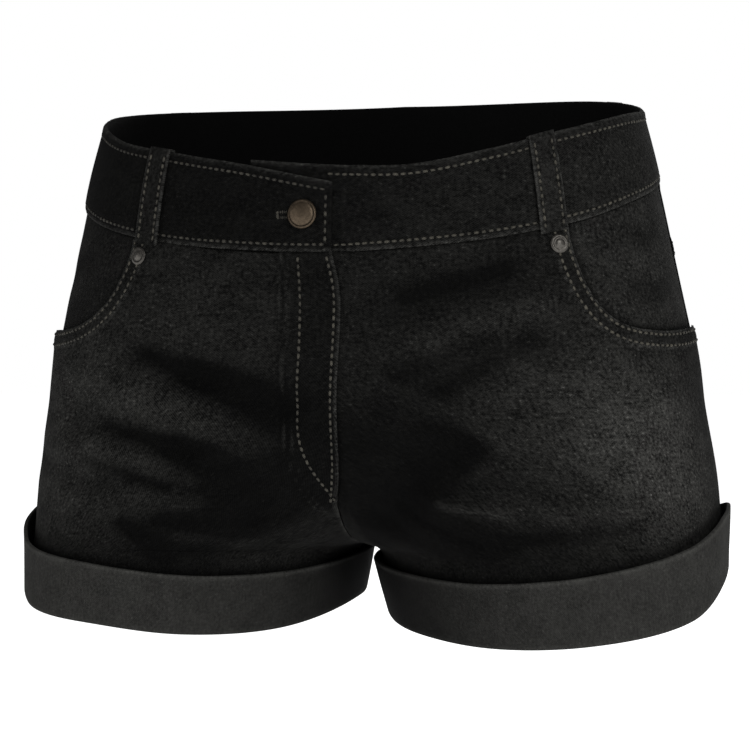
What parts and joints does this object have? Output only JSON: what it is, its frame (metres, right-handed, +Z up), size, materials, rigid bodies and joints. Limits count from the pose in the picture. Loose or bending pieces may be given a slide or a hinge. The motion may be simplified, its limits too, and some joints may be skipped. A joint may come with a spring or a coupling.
{
  "type": "denim shorts",
  "caption": "Low-rise denim shorts with turned-up cuffs, scooped front pockets, a buttoned waistband and a covered zip fly, hollow and in their worn shape.",
  "frame": {"origin": "middle of the waist opening, level with the top of the side seams", "axes": "+X to the viewer's right as the fly faces the viewer, +Y to the back, +Z up"},
  "size_m": [0.3951, 0.2391, 0.3036],
  "materials": {
    "denim": "washed black twill, faded on the thighs",
    "cuff_denim": "grey inner face of the twill, turned out",
    "pocketing": "plain cotton pocketing",
    "zip_tape": "woven zip tape",
    "copper": "antique copper, rubbed",
    "nickel": "antique nickel, dull"
  },
  "bodies": {
    "root": {"front_panel_left": "denim", "back_panel_left": "denim", "back_yoke_left": "denim", "hip_piece_left": "denim", "pocket_bag_left": "pocketing", "back_pocket_left": "denim", "cuff_left": "cuff_denim", "rivet_left": "nickel", "front_panel_right": "denim", "back_panel_right": "denim", "back_yoke_right": "denim", "hip_piece_right": "denim", "pocket_bag_right": "pocketing", "back_pocket_right": "denim", "cuff_right": "cuff_denim", "rivet_right": "nickel", "fly_facing": "denim", "zip": "zip_tape", "fly_shield": "denim", "zip_slider": "nickel", "waistband": "denim", "waist_button": "copper", "belt_loop_front_left": "denim", "belt_loop_front_right": "denim", "belt_loop_back_left": "denim", "belt_loop_back_right": "denim", "belt_loop_back_middle": "denim"}
  },
  "joints": []
}
